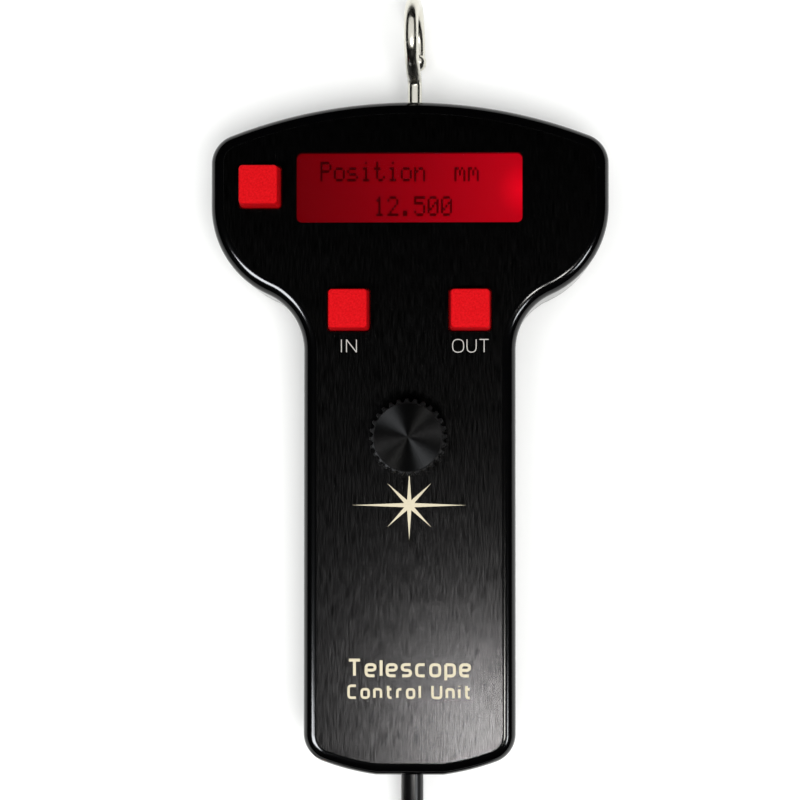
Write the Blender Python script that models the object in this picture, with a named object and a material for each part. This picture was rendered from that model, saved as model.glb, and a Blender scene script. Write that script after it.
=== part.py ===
"""A hand controller for a telescope focuser, in metres.

The origin is on the back face, under the axis of the knob. +X is to the right of the face, +Y runs up to the
hanging hook and +Z comes out of the face. The cord leaves the foot of the grip and lies coiled on the surface
that the controller rests on, z = 0.
"""

import math

import bmesh
import bpy
from mathutils.geometry import interpolate_bezier

# Room left between two pieces that touch, and between a screw and its hole.
GAP = 0.0002

# The case seen from the front: a wide head, a waist on each side and a straight grip.
CASE_TOP = 0.0743
CASE_FOOT = -0.0743
HEAD_HALF = 0.0440
GRIP_HALF = 0.0234
CROWN_RADIUS = 0.1100
TOP_CORNER = 0.0068
SHOULDER_Y = 0.0512
SHOULDER_RADIUS = 0.0214
WAIST_RADIUS = 0.0136
FOOT_RADIUS = 0.0551
FOOT_BULGE = 0.0005
FOOT_CORNER = 0.0066

# The case through its thickness.
CASE_DEPTH = 0.0200
COVER_DEPTH = 0.0030
COVER_EDGE = 0.0012
ROUND_OVER = 0.0030
FACE_INSET = 0.0031
FACE_STEP = 0.0004
WALL = 0.0029
CEILING = 0.0176
ROOF = 0.0180

# Screws: back screws hold the cover, board screws the circuit board, clamp screws the cable clamp.
SCREW_RADIUS = 0.00095
SCREW_HOLE = 0.00115
CLEAR_HOLE = 0.00135
BOSS_RADIUS = 0.0030
BACK_SCREWS = [(0.0333, 0.0646), (0.0185, 0.0060), (0.0166, -0.0652)]
BACK_HEAD = 0.00235
BACK_SCREW_TIP = 0.0090
BACK_HOLE_TOP = 0.0120
POST_RADIUS = 0.0026
BOARD_SCREWS = [(0.0330, 0.0410), (0.0115, -0.0135)]
BOARD_HEAD = 0.0021
BOARD_SCREW_TIP = 0.0155
BOARD_HOLE_TOP = 0.0165

# The display, behind a window in the face.
DISPLAY_Y = 0.0549
WINDOW = (0.0496, 0.0153)
WINDOW_CORNER = 0.0012
PANE = (0.0526, 0.0182)
PANE_TOP = 0.0185
PANE_LOW = 0.01755
PANE_SEAT = 0.0186
SEAT_ROOM = 0.0002
LCD = (0.0520, 0.0200)
GLASS_LOW = 0.0149
GLASS_TOP = 0.0173
BACKLIGHT_TOP = 0.0147
PINS_WIDE = 0.0406
PINS_Y = (0.0432, 0.0445)
PINS_TOP = 0.0169

# The circuit board, and what stands on it. The board's edge is given for its right half.
BOARD_LOW = 0.0096
BOARD_TOP = 0.0111
PART_LOW = 0.0113
BOARD_EDGE = [
    (0.0150, -0.0180),
    (0.0150, 0.0170),
    (0.0202, 0.0215),
    (0.0202, 0.0300),
    (0.0280, 0.0360),
    (0.0345, 0.0385),
    (0.0395, 0.0460),
    (0.0395, 0.0612),
    (0.0298, 0.0612),
    (0.0298, 0.0665),
]
CHIP = (0.0, 0.0280, 0.0100, 0.0014)
REGULATOR = (0.0, 0.0120, 0.0065, 0.0020)

# The keys: a square cap on the plunger of a tactile switch.
KEYS = {"menu": (-0.0328, 0.0550), "in": (-0.0133, 0.0280), "out": (0.0133, 0.0280)}
KEY_SIZE = 0.0090
KEY_CROWN = 0.0083
KEY_FLANGE = 0.0104
KEY_HOLE = 0.0095
KEY_CORNER = 0.0008
KEY_LOW = 0.0156
KEY_TOP = 0.0242
KEY_EDGE = 0.0004
SOCKET = 0.0039
SOCKET_TOP = 0.0186
SWITCH_SIZE = 0.0120
SWITCH_TOP = 0.0149
SWITCH_BORE = 0.0035
SWITCH_FLOOR = 0.0122
PLUNGER_RADIUS = 0.0032
PLUNGER_LOW = 0.0127
PLUNGER_SHOULDER = 0.0152
STEM = 0.0036
STEM_TOP = 0.0184

# The encoder behind the knob, on the axis x = 0, y = 0.
ENCODER = (0.0132, 0.0124)
ENCODER_TOP = 0.0158
ROTOR_FLOOR = 0.0130
ROTOR_RADIUS = 0.0050
PLATE_TOP = 0.0172
BUSH_RADIUS = 0.00345
BUSH_BORE = 0.00325
BUSH_TOP = 0.0228
FACE_BORE = 0.0037
WASHER_RADIUS = 0.0052
WASHER_TOP = 0.0206
NUT_ACROSS = 0.0094
NUT_TOP = 0.0226
SHAFT_RADIUS = 0.0030
SHAFT_TOP = 0.0290
SHAFT_FLAT = 0.0025
FLAT_LOW = 0.0242

# The knob: a fluted cap with a flat turned top.
KNOB_LOW = 0.0207
KNOB_TOP = 0.0300
KNOB_RADIUS = 0.0083
KNOB_CREST = 0.0074
KNOB_CHAMFER = 0.0008
FLUTES = 28
FLUTE_DEPTH = 0.0007
KNOB_HOLLOW = 0.0065
HOLLOW_TOP = 0.0240
KNOB_BORE = 0.00315
KNOB_BORE_TOP = 0.0293
SET_SCREW_Z = 0.0265
SET_SCREW = 0.0014
SET_SCREW_END = 0.0070

# The cord's way in: a grommet in the foot, then a clamp, then a plug on the board's header.
CORD_X = 0.0004
CORD_Z = 0.0099
CORD_RADIUS = 0.0025
INNER_RADIUS = 0.00245
GROMMET_RADIUS = 0.0035
GROMMET_BORE = 0.0027
GROMMET_FACE = -0.0742
GROMMET_FLANGE = 0.0050
FLANGE_Y = (-0.0712, -0.0697)
CORD_HOLE = 0.0037
PAD_HALF = 0.0100
PAD_Y = (-0.0640, -0.0580)
PAD_LOW = 0.0105
GROOVE = 0.00275
CLAMP_TOP = 0.0102
CLAMP_LOW = 0.0059
CLAMP_SCREW_X = 0.0072
CLAMP_SCREW_TIP = 0.0150
HEADER = (0.0110, 0.0060, 0.0038)
HEADER_Y = -0.0120
HOUSING = (0.0100, 0.0077, 0.0046)
HOUSING_Y = -0.01915
HOUSING_LOW = 0.0042
INNER_ROUTE = [
    (CORD_X, -0.0740, CORD_Z),
    (CORD_X, -0.0600, CORD_Z),
    (CORD_X, -0.0480, CORD_Z),
    (CORD_X, -0.0390, 0.0097),
    (0.0002, -0.0310, 0.0079),
    (0.0000, -0.0234, 0.0066),
]

# The hanging hook: a shank, a bend towards the face, then a round loop that ends in a ball behind the shank.
HOOK_X = 0.0009
HOOK_WIRE = 0.0016
HOOK_TILT = math.radians(-4)
HOOK_HOLE = 0.0019
SHANK_Y = (0.0685, 0.0793)
BEND_RADIUS = 0.0024
LOOP_RADIUS = 0.0082
LOOP_CENTRE = (0.0897, 0.0003)
LOOP_START = math.radians(11)
LOOP_END = math.radians(277)
BALL_RADIUS = 0.0020
HOOK_NUT_ACROSS = 0.0066
HOOK_NUT_Y = (0.0689, 0.0710)

# The free cord: a short lead, a flat two-layer coil held by a tie, and a tail that ends in a modular plug.
LEAD_ROUTE = [
    (CORD_X, -0.0745, CORD_Z),
    (CORD_X, -0.0800, 0.0098),
    (CORD_X, -0.0860, 0.0092),
    (CORD_X, -0.0920, 0.0079),
    (0.0024, -0.1017, 0.0054),
    (0.0080, -0.1099, 0.0038),
    (0.0163, -0.1153, 0.0032),
]
TAIL_ROUTE = [
    (-0.0374, -0.1520, 0.0082),
    (-0.0374, -0.1440, 0.0081),
    (-0.0374, -0.1370, 0.0075),
    (-0.0374, -0.1300, 0.0057),
    (-0.0374, -0.1245, 0.0042),
    (-0.0374, -0.1200, 0.0036),
]
COIL_CENTRE = (0.0020, -0.1520)
COIL_OUTER = 0.0394
COIL_INNER = 0.0179
COIL_LIFT = 0.0007
COIL_HEIGHT = 0.0100
COIL_EDGE = 0.0010
TIE_WIDE = 0.0080
TIE_THICK = 0.0005
BOOT_RADII = (0.0029, 0.0034)
BOOT_LONG = 0.0110
PLUG = (0.0117, 0.0205, 0.0066)
LATCH = (0.0060, 0.0150, 0.0009)


def arc(centre, radius, start, end, steps):
    """The points of an arc, both ends included."""
    angles = [start + (end - start) * step / steps for step in range(steps + 1)]
    return [(centre[0] + radius * math.cos(angle), centre[1] + radius * math.sin(angle)) for angle in angles]


def toward(start, end):
    return math.atan2(end[1] - start[1], end[0] - start[0])


def outline(inset=0.0):
    """The case's outline moved inwards by inset, anticlockwise, always with the same number of points.

    Every arc is tangent to its neighbours, so an inset only changes the radii."""
    crown = (0.0, CASE_TOP - CROWN_RADIUS)
    corner_x = HEAD_HALF - TOP_CORNER
    corner = (corner_x, crown[1] + math.sqrt((CROWN_RADIUS - TOP_CORNER) ** 2 - corner_x**2))
    shoulder = (HEAD_HALF - SHOULDER_RADIUS, SHOULDER_Y)
    waist_x = GRIP_HALF + WAIST_RADIUS
    reach = math.sqrt((SHOULDER_RADIUS + WAIST_RADIUS) ** 2 - (waist_x - shoulder[0]) ** 2)
    waist = (waist_x, SHOULDER_Y - reach)
    foot = (0.0, CASE_FOOT - FOOT_BULGE + FOOT_RADIUS)
    heel_x = GRIP_HALF - FOOT_CORNER
    heel = (heel_x, foot[1] - math.sqrt((FOOT_RADIUS - FOOT_CORNER) ** 2 - heel_x**2))
    flat_end = math.asin((CASE_FOOT + inset - foot[1]) / (FOOT_RADIUS - inset))
    turn = toward(waist, shoulder)
    right = (
        arc(foot, FOOT_RADIUS - inset, flat_end, toward(foot, heel), 3)
        + arc(heel, FOOT_CORNER - inset, toward(foot, heel), 0.0, 6)[1:]
        + arc(waist, WAIST_RADIUS + inset, math.pi, turn, 7)
        + arc(shoulder, SHOULDER_RADIUS - inset, turn - math.pi, 0.0, 9)[1:]
        + arc(corner, TOP_CORNER - inset, 0.0, toward(crown, corner), 6)
        + arc(crown, CROWN_RADIUS - inset, toward(crown, corner), math.pi / 2, 6)[1:]
    )
    return right + [(-x, y) for x, y in reversed(right[:-1])]


def rectangle(width, height, centre=(0.0, 0.0)):
    x, y = centre
    return [
        (x - width / 2, y - height / 2),
        (x + width / 2, y - height / 2),
        (x + width / 2, y + height / 2),
        (x - width / 2, y + height / 2),
    ]


def rounded(width, height, radius, centre=(0.0, 0.0), steps=3):
    """A rectangle with rounded corners."""
    corners = rectangle(width - 2 * radius, height - 2 * radius, centre)
    points = []
    for quarter, corner in enumerate(corners, start=2):
        points += arc(corner, radius, quarter * math.pi / 2, (quarter + 1) * math.pi / 2, steps)
    return points


def polygon(radius, sides, first=0.0):
    return arc((0.0, 0.0), radius, first, first + math.tau, sides)[:-1]


def level(points, height):
    return [(x, y, height) for x, y in points]


def lofted(rings, closed=False):
    """A solid skinned over rings of as many points each, with capped ends, or joined end to end if closed."""
    shape = bmesh.new()
    loops = [[shape.verts.new(point) for point in ring] for ring in rings]
    pairs = list(zip(loops, loops[1:]))
    if closed:
        pairs.append((loops[-1], loops[0]))
    else:
        shape.faces.new(reversed(loops[0]))
        shape.faces.new(loops[-1])
    for low, high in pairs:
        for here in range(len(low)):
            after = (here + 1) % len(low)
            shape.faces.new((low[here], low[after], high[after], high[here]))
    bmesh.ops.recalc_face_normals(shape, faces=shape.faces)
    return shape


def prism(points, low, high):
    return lofted([level(points, low), level(points, high)])


def turned(profile, sides=24, closed=False):
    """A solid of revolution about Z; the profile's points are (radius, height), all off the axis."""
    return lofted([level(polygon(radius, sides), height) for radius, height in profile], closed)


def swept(path, radii, sides):
    """A round bar along a path of (y, z) points in the plane x = 0, with a radius at each point."""
    rings = []
    last = len(path) - 1
    for place, (y, z) in enumerate(path):
        before = path[max(place - 1, 0)]
        after = path[min(place + 1, last)]
        run = math.hypot(after[0] - before[0], after[1] - before[1])
        normal = (-(after[1] - before[1]) / run, (after[0] - before[0]) / run)
        rings.append([(a, y + b * normal[0], z + b * normal[1]) for a, b in polygon(radii[place], sides)])
    return lofted(rings)


def material(name, colour, roughness, metallic=0.0):
    made = bpy.data.materials.new(name)
    made.use_nodes = True
    shader = made.node_tree.nodes["Principled BSDF"]
    shader.inputs["Base Color"].default_value = (*colour, 1.0)
    shader.inputs["Roughness"].default_value = roughness
    shader.inputs["Metallic"].default_value = metallic
    return made


def add(name, shape, look, location=(0.0, 0.0, 0.0), rotation=(0.0, 0.0, 0.0), parent=None):
    mesh = bpy.data.meshes.new(name)
    shape.to_mesh(mesh)
    shape.free()
    mesh.materials.append(look)
    mesh.shade_smooth()
    mesh.set_sharp_from_angle(angle=math.radians(35))
    piece = bpy.data.objects.new(name, mesh)
    piece.location = location
    piece.rotation_euler = rotation
    piece.parent = parent
    bpy.context.scene.collection.objects.link(piece)
    return piece


def pivot(name, location):
    """An empty on a joint's axis, which the moving pieces hang from."""
    empty = bpy.data.objects.new(name, None)
    empty.location = location
    bpy.context.scene.collection.objects.link(empty)
    return empty


def carve(piece, operation, shape, location=(0.0, 0.0, 0.0), rotation=(0.0, 0.0, 0.0)):
    """Cuts a hidden helper out of the piece, or joins it on."""
    name = f"{piece.name}.tool{len(piece.modifiers) + 1:02d}"
    tool = add(name, shape, piece.data.materials[0], location, rotation, piece.parent)
    tool.hide_render = True
    tool.display_type = "WIRE"
    modifier = piece.modifiers.new(name, "BOOLEAN")
    modifier.operation = operation
    modifier.object = tool


def cut(piece, shape, location=(0.0, 0.0, 0.0), rotation=(0.0, 0.0, 0.0)):
    carve(piece, "DIFFERENCE", shape, location, rotation)


def join(piece, shape, location=(0.0, 0.0, 0.0), rotation=(0.0, 0.0, 0.0)):
    carve(piece, "UNION", shape, location, rotation)


def both_sides(places):
    """Each place and its mirror image across x = 0."""
    return [(side * x, y) for x, y in places for side in (-1, 1)]


def smooth_route(points, spacing):
    """Points about spacing apart on a smooth curve through the given ones, with tangents along the chords."""
    ends = [points[0], *points, points[-1]]
    tangents = [tuple((b - a) / 6 for a, b in zip(ends[i], ends[i + 2])) for i in range(len(points))]
    route = [points[0]]
    for place in range(len(points) - 1):
        start, end = points[place], points[place + 1]
        handles = (
            tuple(a + t for a, t in zip(start, tangents[place])),
            tuple(b - t for b, t in zip(end, tangents[place + 1])),
        )
        steps = max(1, round(math.dist(start, end) / spacing))
        route += [tuple(point) for point in interpolate_bezier(start, *handles, end, steps + 1)[1:]]
    return route


def tube(name, points, radius, look):
    """A curve object along the points, with a round bevel and closed ends."""
    curve = bpy.data.curves.new(name, "CURVE")
    curve.dimensions = "3D"
    curve.bevel_depth = radius
    curve.bevel_resolution = 2
    curve.use_fill_caps = True
    curve.materials.append(look)
    spline = curve.splines.new("POLY")
    spline.points.add(len(points) - 1)
    for place, point in zip(spline.points, points):
        place.co = (*point, 1.0)
    piece = bpy.data.objects.new(name, curve)
    bpy.context.scene.collection.objects.link(piece)
    return piece


def front_shell(look):
    """The milled case: a deep open shell with a rounded rim and a slightly raised face."""
    rim = arc((ROUND_OVER, CASE_DEPTH - FACE_STEP - ROUND_OVER), ROUND_OVER, math.pi, math.pi / 2, 4)
    split = COVER_DEPTH + GAP
    section = [(WALL, CEILING), (WALL, split), (0.0, split), *rim]
    section += [(FACE_INSET, CASE_DEPTH - FACE_STEP), (FACE_INSET, CASE_DEPTH)]
    shell = add("front_shell", lofted([level(outline(inset), height) for inset, height in section]), look)
    for x, y in both_sides(BACK_SCREWS):
        join(shell, turned([(BOSS_RADIUS, split), (BOSS_RADIUS, ROOF)], 16), (x, y, 0.0))
        cut(shell, turned([(SCREW_HOLE, 0.0), (SCREW_HOLE, BACK_HOLE_TOP)], 12), (x, y, 0.0))
    for x, y in both_sides(BOARD_SCREWS):
        join(shell, turned([(POST_RADIUS, BOARD_TOP + GAP), (POST_RADIUS, ROOF)], 16), (x, y, 0.0))
        cut(shell, turned([(SCREW_HOLE, 0.0), (SCREW_HOLE, BOARD_HOLE_TOP)], 12), (x, y, 0.0))
    pad_y = sum(PAD_Y) / 2
    pad = rectangle(2 * PAD_HALF, PAD_Y[1] - PAD_Y[0], (CORD_X, pad_y))
    join(shell, prism(pad, PAD_LOW, ROOF))
    groove = turned([(GROOVE, -0.01), (GROOVE, 0.01)], 16)
    cut(shell, groove, (CORD_X, pad_y, CORD_Z), (math.pi / 2, 0.0, 0.0))
    for side in (-1, 1):
        x = CORD_X + side * CLAMP_SCREW_X
        cut(shell, turned([(SCREW_HOLE, 0.0), (SCREW_HOLE, BOARD_HOLE_TOP)], 12), (x, pad_y, 0.0))
    centre = (0.0, DISPLAY_Y)
    cut(shell, prism(rounded(*WINDOW, WINDOW_CORNER, centre), CEILING - 0.001, CASE_DEPTH + 0.001))
    seat = rectangle(PANE[0] + 2 * SEAT_ROOM, PANE[1] + 2 * SEAT_ROOM, centre)
    cut(shell, prism(seat, CEILING - 0.001, PANE_SEAT))
    for place in KEYS.values():
        hole = rounded(KEY_HOLE, KEY_HOLE, KEY_CORNER, place)
        cut(shell, prism(hole, CEILING - 0.001, CASE_DEPTH + 0.001))
    cut(shell, turned([(FACE_BORE, CEILING - 0.001), (FACE_BORE, CASE_DEPTH + 0.001)]))
    hook_place = (HOOK_X, CASE_TOP - WALL - 0.002, CORD_Z)
    cut(shell, turned([(HOOK_HOLE, 0.0), (HOOK_HOLE, 0.010)], 16), hook_place, (-math.pi / 2, 0.0, 0.0))
    cord_hole = turned([(CORD_HOLE, 0.0), (CORD_HOLE, 0.010)])
    cut(shell, cord_hole, (CORD_X, FLANGE_Y[0], CORD_Z), (math.pi / 2, 0.0, 0.0))


def back_cover(look):
    """The flat plate that closes the case, with countersunk holes."""
    rim = arc((COVER_EDGE, COVER_EDGE), COVER_EDGE, math.pi * 1.5, math.pi, 3)
    rings = [level(outline(inset), height) for inset, height in [*rim, (0.0, COVER_DEPTH)]]
    cover = add("back_cover", lofted(rings), look)
    wide = BACK_HEAD + 0.00025
    sink = [(wide, -0.001), (wide, 0.00025), (CLEAR_HOLE, 0.0015), (CLEAR_HOLE, COVER_DEPTH + 0.001)]
    for x, y in both_sides(BACK_SCREWS):
        cut(cover, turned(sink, 16), (x, y, 0.0))


def screws(look):
    """Every screw but the one in the knob; a pan head lies below its shank."""
    sunk = [(BACK_HEAD, 0.00015), (BACK_HEAD, 0.0003), (SCREW_RADIUS, 0.0017), (SCREW_RADIUS, BACK_SCREW_TIP)]
    for number, (x, y) in enumerate(both_sides(BACK_SCREWS), start=1):
        add(f"back_screw_{number}", turned(sunk, 16), look, (x, y, 0.0))

    def pan_screw(name, x, y, seat, tip):
        under = seat - GAP
        profile = [(BOARD_HEAD - 0.0003, under - 0.0015), (BOARD_HEAD, under - 0.0011), (BOARD_HEAD, under)]
        add(name, turned([*profile, (SCREW_RADIUS, under), (SCREW_RADIUS, tip)], 12), look, (x, y, 0.0))

    for number, (x, y) in enumerate(both_sides(BOARD_SCREWS), start=1):
        pan_screw(f"board_screw_{number}", x, y, BOARD_LOW, BOARD_SCREW_TIP)
    for number, side in enumerate((-1, 1), start=1):
        x = CORD_X + side * CLAMP_SCREW_X
        pan_screw(f"clamp_screw_{number}", x, sum(PAD_Y) / 2, CLAMP_LOW, CLAMP_SCREW_TIP)


def display(pane_look, glass_look, light_look, pin_look):
    centre = (0.0, DISPLAY_Y)
    add("display_window", prism(rectangle(*PANE, centre), PANE_LOW, PANE_TOP), pane_look)
    add("lcd_glass", prism(rectangle(*LCD, centre), GLASS_LOW, GLASS_TOP), glass_look)
    add("lcd_backlight", prism(rectangle(*LCD, centre), PART_LOW, BACKLIGHT_TOP), light_look)
    strip = rectangle(PINS_WIDE, PINS_Y[1] - PINS_Y[0], (0.0, sum(PINS_Y) / 2))
    add("lcd_pin_strip", prism(strip, PART_LOW, PINS_TOP), pin_look)


def circuit_board(board_look, chip_look, plastic_look):
    edge = BOARD_EDGE + [(-x, y) for x, y in reversed(BOARD_EDGE)]
    board = add("main_board", prism(edge, BOARD_LOW, BOARD_TOP), board_look)
    for x, y in both_sides(BOARD_SCREWS):
        cut(board, turned([(CLEAR_HOLE, 0.0), (CLEAR_HOLE, 0.02)], 12), (x, y, 0.0))
    under = BOARD_LOW - GAP
    for name, (x, y, size, high) in {"controller_chip": CHIP, "voltage_regulator": REGULATOR}.items():
        add(name, prism(rectangle(size, size, (x, y)), under - high, under), chip_look)
    wide, long, low = HEADER
    add("cable_header", prism(rectangle(wide, long, (0.0, HEADER_Y)), low, under), plastic_look)
    wide, long, high = HOUSING
    housing = rectangle(wide, long, (0.0, HOUSING_Y))
    add("cable_housing", prism(housing, HOUSING_LOW, HOUSING_LOW + high), plastic_look)


def key(name, place, cap_look, switch_look, stem_look):
    """A cap, the plunger that it is pressed onto, and the switch below."""
    body = add(f"{name}_switch", prism(rectangle(SWITCH_SIZE, SWITCH_SIZE), PART_LOW, SWITCH_TOP), switch_look)
    body.location = (*place, 0.0)
    cut(body, turned([(SWITCH_BORE, SWITCH_FLOOR), (SWITCH_BORE, 0.02)]), body.location)
    hub = pivot(f"{name}_key_axis", (*place, 0.0))
    plunger = turned([(PLUNGER_RADIUS, PLUNGER_LOW), (PLUNGER_RADIUS, PLUNGER_SHOULDER)])
    plunger = add(f"{name}_plunger", plunger, stem_look, parent=hub)
    join(plunger, prism(rectangle(STEM, STEM), PLUNGER_LOW + 0.001, STEM_TOP))
    widths = [(KEY_FLANGE, KEY_LOW), (KEY_FLANGE, KEY_LOW + 0.0008), (KEY_SIZE, KEY_LOW + 0.0008)]
    widths += [(KEY_SIZE, CASE_DEPTH), (KEY_CROWN, KEY_TOP - KEY_EDGE), (KEY_CROWN - KEY_EDGE, KEY_TOP)]
    rings = [level(rounded(width, width, KEY_CORNER), height) for width, height in widths]
    cap = add(f"{name}_button", lofted(rings), cap_look, parent=hub)
    cut(cap, prism(rectangle(SOCKET, SOCKET), KEY_LOW - 0.001, SOCKET_TOP))


def encoder(body_look, brass_look, steel_look, rotor_look):
    """The encoder: body, rotor and threaded bush, with its washer, nut and shaft."""
    body = add("encoder_body", prism(rectangle(*ENCODER), PART_LOW, ENCODER_TOP), body_look)
    cut(body, turned([(ROTOR_RADIUS + 0.0003, ROTOR_FLOOR), (ROTOR_RADIUS + 0.0003, 0.02)]))
    cut(body, turned([(0.0021, PART_LOW + 0.0006), (0.0021, 0.02)]))
    bore = SHAFT_RADIUS + 0.00025
    low, high = ROTOR_FLOOR + GAP, ENCODER_TOP - GAP
    rotor = [(ROTOR_RADIUS, low), (ROTOR_RADIUS, high), (bore, high), (bore, low)]
    axis = pivot("encoder_axis", (0.0, 0.0, 0.0))
    add("encoder_rotor", turned(rotor, closed=True), rotor_look, parent=axis)
    bush = add("encoder_bush", prism(rectangle(*ENCODER), ENCODER_TOP + GAP, PLATE_TOP), brass_look)
    join(bush, turned([(BUSH_RADIUS, PLATE_TOP - 0.0005), (BUSH_RADIUS, BUSH_TOP)]))
    cut(bush, turned([(BUSH_BORE, ENCODER_TOP), (BUSH_BORE, BUSH_TOP + 0.001)]))
    low = CASE_DEPTH + 0.00015
    washer = [(WASHER_RADIUS, low), (WASHER_RADIUS, WASHER_TOP), (FACE_BORE, WASHER_TOP), (FACE_BORE, low)]
    add("encoder_washer", turned(washer, closed=True), steel_look)
    corner = NUT_ACROSS / math.sqrt(3)
    nut = add("encoder_nut", prism(polygon(corner, 6), WASHER_TOP + 0.00015, NUT_TOP), steel_look)
    cut(nut, turned([(FACE_BORE, CASE_DEPTH), (FACE_BORE, NUT_TOP + 0.001)]))
    shaft = [(0.0018, 0.0125), (0.0018, 0.0137), (SHAFT_RADIUS, 0.0137), (SHAFT_RADIUS, SHAFT_TOP - 0.0004)]
    shaft = add("encoder_shaft", turned([*shaft, (SHAFT_RADIUS - 0.0004, SHAFT_TOP)]), steel_look, parent=axis)
    flat = rectangle(0.004, 0.008, (SHAFT_FLAT + 0.002, 0.0))
    cut(shaft, prism(flat, FLAT_LOW, SHAFT_TOP + 0.001))
    return axis


def fluted(radius, depth):
    """A circle with evenly spaced round-bottomed grooves."""
    pitch = math.tau / FLUTES
    groove = [(0.0, 0.0), (0.28, 0.75), (0.50, 1.0), (0.72, 0.75)]
    points = []
    for flute in range(FLUTES):
        for share, sunk in groove:
            angle = (flute + share) * pitch
            reach = radius - depth * sunk
            points.append((reach * math.cos(angle), reach * math.sin(angle)))
    return points


def knob(look, steel_look, axis):
    rings = [
        level(fluted(KNOB_RADIUS - 0.0003, FLUTE_DEPTH), KNOB_LOW),
        level(fluted(KNOB_RADIUS, FLUTE_DEPTH), KNOB_LOW + 0.0003),
        level(fluted(KNOB_RADIUS, FLUTE_DEPTH), KNOB_TOP - KNOB_CHAMFER),
        level(fluted(KNOB_CREST, 0.0), KNOB_TOP),
    ]
    cap = add("knob", lofted(rings), look, parent=axis)
    cut(cap, turned([(KNOB_HOLLOW, KNOB_LOW - 0.001), (KNOB_HOLLOW, HOLLOW_TOP)]))
    cut(cap, turned([(KNOB_BORE, KNOB_LOW - 0.001), (KNOB_BORE, KNOB_BORE_TOP)]))
    sideways = (0.0, math.pi / 2, 0.0)
    screw_hole = turned([(SET_SCREW + GAP, 0.001), (SET_SCREW + GAP, 0.010)], 12)
    cut(cap, screw_hole, (0.0, 0.0, SET_SCREW_Z), sideways)
    ends = [(SET_SCREW, SHAFT_FLAT + GAP), (SET_SCREW, SET_SCREW_END)]
    add("knob_set_screw", turned(ends, 12), steel_look, (0.0, 0.0, SET_SCREW_Z), sideways, axis)


def cable_entry(rubber_look, jacket_look, bar_look):
    """The grommet in the foot, the cable inside the grip and the bar that clamps it."""
    front = -GROMMET_FACE
    flange = -FLANGE_Y[0] - GAP
    back = -FLANGE_Y[1]
    profile = [(GROMMET_RADIUS, front), (GROMMET_RADIUS, flange), (GROMMET_FLANGE, flange)]
    profile += [(GROMMET_FLANGE, back), (GROMMET_BORE, back), (GROMMET_BORE, front)]
    lengthways = (math.pi / 2, 0.0, 0.0)
    add("cable_grommet", turned(profile, closed=True), rubber_look, (CORD_X, 0.0, CORD_Z), lengthways)
    tube("inner_cable", smooth_route(INNER_ROUTE, 0.004), INNER_RADIUS, jacket_look)
    pad_y = sum(PAD_Y) / 2
    bar = rectangle(2 * PAD_HALF, PAD_Y[1] - PAD_Y[0], (CORD_X, pad_y))
    bar = add("cable_clamp", prism(bar, CLAMP_LOW, CLAMP_TOP), bar_look)
    cut(bar, turned([(GROOVE, -0.01), (GROOVE, 0.01)], 16), (CORD_X, pad_y, CORD_Z), lengthways)
    for side in (-1, 1):
        x = CORD_X + side * CLAMP_SCREW_X
        cut(bar, turned([(CLEAR_HOLE, 0.0), (CLEAR_HOLE, 0.02)], 12), (x, pad_y, 0.0))


def loop_point(turn):
    """A point (y, z) of the hook's loop, counted from its near side and first towards the face."""
    return (LOOP_CENTRE[0] - LOOP_RADIUS * math.cos(turn), LOOP_CENTRE[1] + LOOP_RADIUS * math.sin(turn))


def hook(look):
    """The wire lies in a plane along Y, tilted a little about it, with its loop standing off the shank."""
    bend = arc((SHANK_Y[1], BEND_RADIUS), BEND_RADIUS, -math.pi / 2, -LOOP_START, 5)
    steps = 28
    loop = [loop_point(LOOP_START + (LOOP_END - LOOP_START) * step / steps) for step in range(1, steps + 1)]
    path = [(SHANK_Y[0], 0.0), *bend, *loop]
    radii = [HOOK_WIRE] * len(path)
    for share in (-0.68, -0.4, 0.0, 0.4, 0.75, 0.95):
        path.append(loop_point(LOOP_END + (1.0 + share) * BALL_RADIUS / LOOP_RADIUS))
        radii.append(BALL_RADIUS * math.sqrt(1.0 - share**2))
    add("hook", swept(path, radii, 10), look, (HOOK_X, 0.0, CORD_Z), (0.0, HOOK_TILT, 0.0))
    corner = HOOK_NUT_ACROSS / math.sqrt(3)
    nut = prism(polygon(corner, 6), 0.0, HOOK_NUT_Y[1] - HOOK_NUT_Y[0])
    place = (HOOK_X, HOOK_NUT_Y[0], CORD_Z)
    nut = add("hook_nut", nut, look, place, (-math.pi / 2, 0.0, 0.0))
    cut(nut, turned([(HOOK_HOLE, -0.01), (HOOK_HOLE, 0.01)], 16), place, (-math.pi / 2, 0.0, 0.0))


def beyond_coil(route):
    """The part of a route whose cord is clear of the coil's outside."""
    clear = COIL_OUTER + 2 * CORD_RADIUS + 0.0003
    return [point for point in route if math.dist(point[:2], COIL_CENTRE) > clear]


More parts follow.
